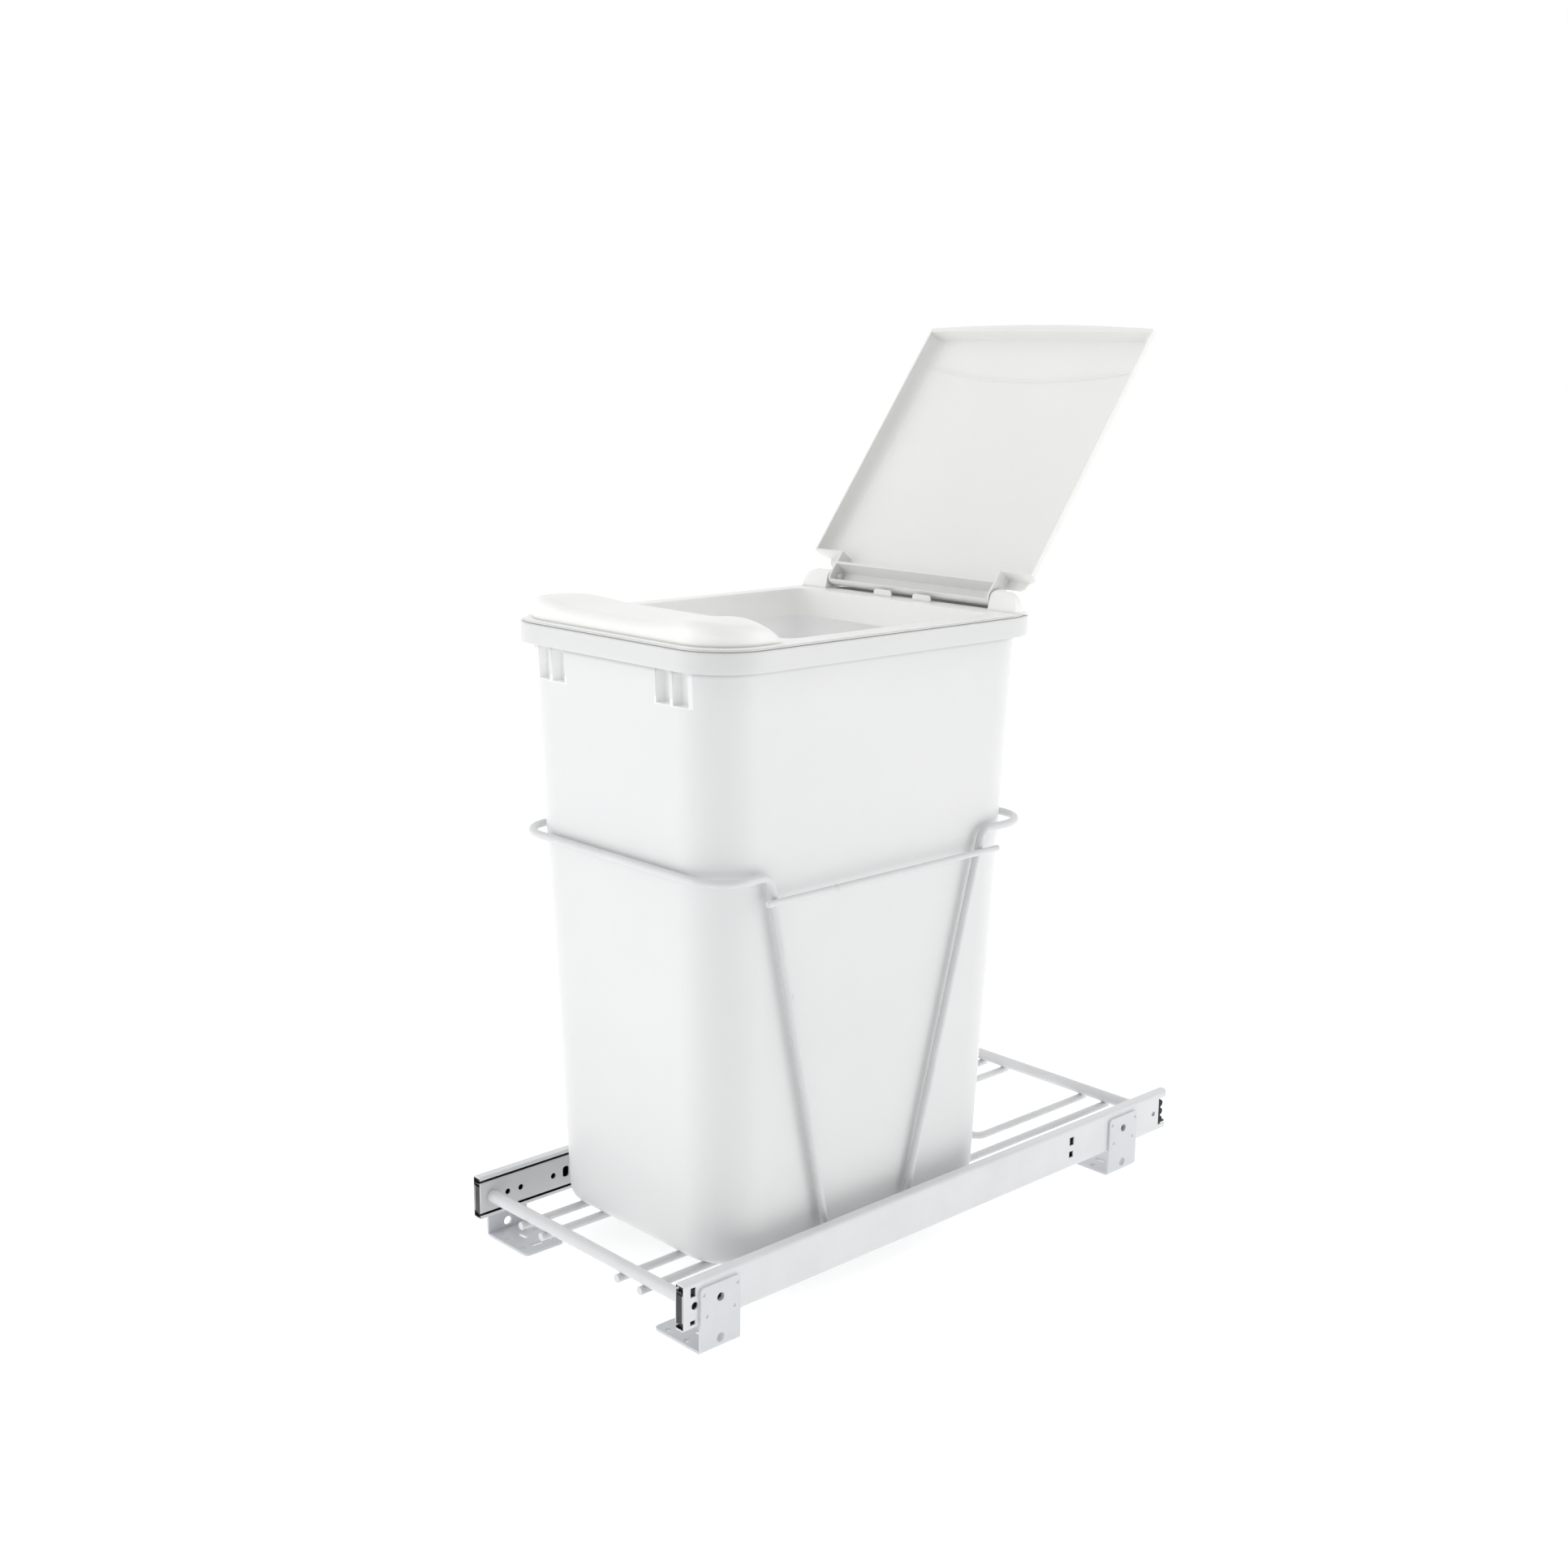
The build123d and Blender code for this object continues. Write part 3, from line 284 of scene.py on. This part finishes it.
def track_steel(name, dark, light, rough, inner_x, outer_x):
    """Powder coat outside, and painted shade: near-black in the ball track, where shade falls between the
    slide members.
    """
    n = Nodes(name)
    tint = n.noise(35, 4)
    colour = n.ramp(tint, 0.3, 0.7, dark, light)
    axes = n.add("ShaderNodeSeparateXYZ", {"Vector": n.place})
    away = n.math("ABSOLUTE", axes.outputs[0])
    past = n.math("GREATER_THAN", away, inner_x)
    short = n.math("LESS_THAN", away, outer_x)
    in_track = n.math("MULTIPLY", past, short)
    height = n.math("SUBTRACT", axes.outputs[2], RAIL_HEIGHT)
    within = n.math("LESS_THAN", n.math("ABSOLUTE", height), TRACK_HALF_HEIGHT)
    in_track = n.math("MULTIPLY", in_track, within)
    # Painted shade: the track between the slide members is painted near-black, with a little random tone.
    painted_track_shade = n.ramp(n.noise(160, 4), 0.35, 0.7, (0.006, 0.006, 0.006), (0.02, 0.02, 0.019))
    colour = n.mix(in_track, colour, painted_track_shade)
    peel = n.noise(900, 2)
    bump = n.bump(peel, 0.16, 0.0003)
    shine = n.math("MULTIPLY_ADD", tint, 0.14)
    shine.node.inputs[2].default_value = rough - 0.07
    return n.set({"Base Color": colour, "Normal": bump, "Roughness": shine}, IOR=1.5)


def black_part(name, rough, grain_scale):
    """Black plastic or rubber with a fine grain and faint dust."""
    n = Nodes(name)
    colour = n.ramp(n.noise(120, 4), 0.35, 0.75, (0.006, 0.006, 0.006), (0.02, 0.02, 0.02))
    bump = n.bump(n.noise(grain_scale, 3), 0.25, 0.0003)
    return n.set({"Base Color": colour, "Normal": bump}, Roughness=rough, IOR=1.5)


def bare_steel(name, tone, rough, streaks):
    """Plated or polished steel with fine drawn streaks along Y."""
    n = Nodes(name)
    stretch = n.add("ShaderNodeMapping", {"Vector": n.place})
    stretch.inputs["Scale"].default_value = (1.0, streaks, 1.0)
    grain = n.add("ShaderNodeTexNoise", {"Vector": stretch.outputs[0]}, Scale=1800, Detail=3.0).outputs[0]
    colour = n.ramp(grain, 0.3, 0.7, tuple(0.82 * v for v in tone), tone)
    bump = n.bump(grain, 0.1, 0.0002)
    shine = n.math("MULTIPLY_ADD", grain, 0.15)
    shine.node.inputs[2].default_value = rough
    return n.set({"Base Color": colour, "Normal": bump, "Roughness": shine}, Metallic=1.0)


def dress(node, material):
    """Give a carried-over CAD node its material."""
    thing = frame["nodes"][node]
    for index in range(max(1, len(thing.material_slots))):
        if not thing.material_slots:
            thing.data.materials.append(material)
        thing.material_slots[index].material = material


def dress_all():
    """Every CAD node's material."""
    rail = powder_coat("rail_coat", (0.64, 0.655, 0.68), (0.68, 0.695, 0.72), 0.38)
    outer = track_steel("outer_rail_coat", (0.70, 0.71, 0.725), (0.74, 0.75, 0.765), 0.38, *OUTER_TRACK_X)
    inner = track_steel("inner_rail_coat", (0.60, 0.61, 0.62), (0.64, 0.65, 0.66), 0.36, *INNER_TRACK_X)
    wire = powder_coat("wire_coat", (0.65, 0.655, 0.665), (0.69, 0.695, 0.705), 0.30, 0.06)
    guide = black_part("guide_plastic", 0.45, 1500)
    rubber = black_part("stop_rubber", 0.75, 2500)
    cage = bare_steel("cage_steel", (0.10, 0.10, 0.10), 0.35, 0.1)
    ball = bare_steel("ball_steel", (0.75, 0.76, 0.78), 0.08, 1.0)
    screw = bare_steel("screw_steel", (0.55, 0.55, 0.56), 0.28, 1.0)
    for side in ("left", "right"):
        dress(f"outer_slide_{side}", outer)
        dress(f"inner_slide_{side}", inner)
        dress(f"bracket_front_{side}", rail)
        dress(f"bracket_rear_{side}", rail)
        dress(f"front_guide_{side}", guide)
        dress(f"rear_stop_{side}", rubber)
        dress(f"ball_cage_{side}", cage)
        dress(f"balls_{side}", ball)
        dress(f"base_wire_{side}", wire)
        dress(f"side_wire_{side}", wire)
    for node in ("front_bar", "rear_bar", "front_loop_wire", "rear_loop_wire",
                 "front_hoop_wire", "rear_hoop_wire"):
        dress(node, wire)
    dress("bar_screws", screw)
    dress("bin", bin_plastic())
    dress("lid_frame", frame_plastic())
    dress("lid", lid_plastic())


# ---------------------------------------------------------------- stage and light


def make_floor():
    """A plain pale floor that gives off a little light, so that the shade under the unit stays soft."""
    mesh = bpy.data.meshes.new("floor")
    reach = 30.0
    mesh.from_pydata([(-reach, -reach, 0), (reach, -reach, 0), (reach, reach, 0), (-reach, reach, 0)],
                     [], [(0, 1, 2, 3)])
    floor = bpy.data.objects.new("floor", mesh)
    scene.collection.objects.link(floor)
    n = Nodes("floor_paint")
    tint = n.ramp(n.noise(3, 2), 0.3, 0.7, (0.955, 0.955, 0.955), (0.965, 0.965, 0.965))
    mesh.materials.append(n.set({"Base Color": tint}, Roughness=0.9, Emission_Color=(1, 1, 1, 1),
                                Emission_Strength=FLOOR_GLOW))


def area_light(name, place, aim, width, height, watts):
    """A softbox at a place, turned to what it lights."""
    data = bpy.data.lights.new(name, "AREA")
    data.shape = "RECTANGLE"
    data.size = width
    data.size_y = height
    data.energy = watts
    light = bpy.data.objects.new(name, data)
    light.location = place
    light.rotation_mode = "QUATERNION"
    light.rotation_quaternion = (Vector(place) - Vector(aim)).to_track_quat("Z", "Y")
    scene.collection.objects.link(light)


def make_dome(dim_azimuth, dim, bright, low, high):
    """Light from all round, dimmer from one side so that the round corner facing it reads darker."""
    world = bpy.data.worlds.new("dome")
    world.use_nodes = True
    tree = world.node_tree
    background = tree.nodes["Background"]
    coordinates = tree.nodes.new("ShaderNodeTexCoord")
    dot = tree.nodes.new("ShaderNodeVectorMath")
    dot.operation = "DOT_PRODUCT"
    dot.inputs[1].default_value = (math.sin(dim_azimuth), -math.cos(dim_azimuth), 0)
    span = tree.nodes.new("ShaderNodeMapRange")
    span.interpolation_type = "SMOOTHSTEP"
    span.inputs["From Min"].default_value = low
    span.inputs["From Max"].default_value = high
    span.inputs["To Min"].default_value = bright
    span.inputs["To Max"].default_value = dim
    tree.links.new(coordinates.outputs["Generated"], dot.inputs[0])
    tree.links.new(dot.outputs["Value"], span.inputs["Value"])
    tree.links.new(span.outputs[0], background.inputs["Strength"])
    background.inputs["Color"].default_value = (1.0, 1.0, 1.0, 1)
    scene.world = world


def make_lights():
    """Soft studio light: a bright dome, a softbox from the left and one from the right."""
    make_dome(math.radians(60), 0.25, 1.01, 0.3, 0.98)
    middle = (0, 0, 0.3)
    area_light("front_left", (-1.64, -2.63, 0.9), middle, 1.6, 2.2, 14)
    area_light("right_rear", (2.6, 1.7, 0.9), middle, 1.6, 2.2, 15)
    scene.view_settings.view_transform = "Standard"
    scene.view_settings.look = "None"


make_camera()
dress_all()
make_floor()
make_lights()
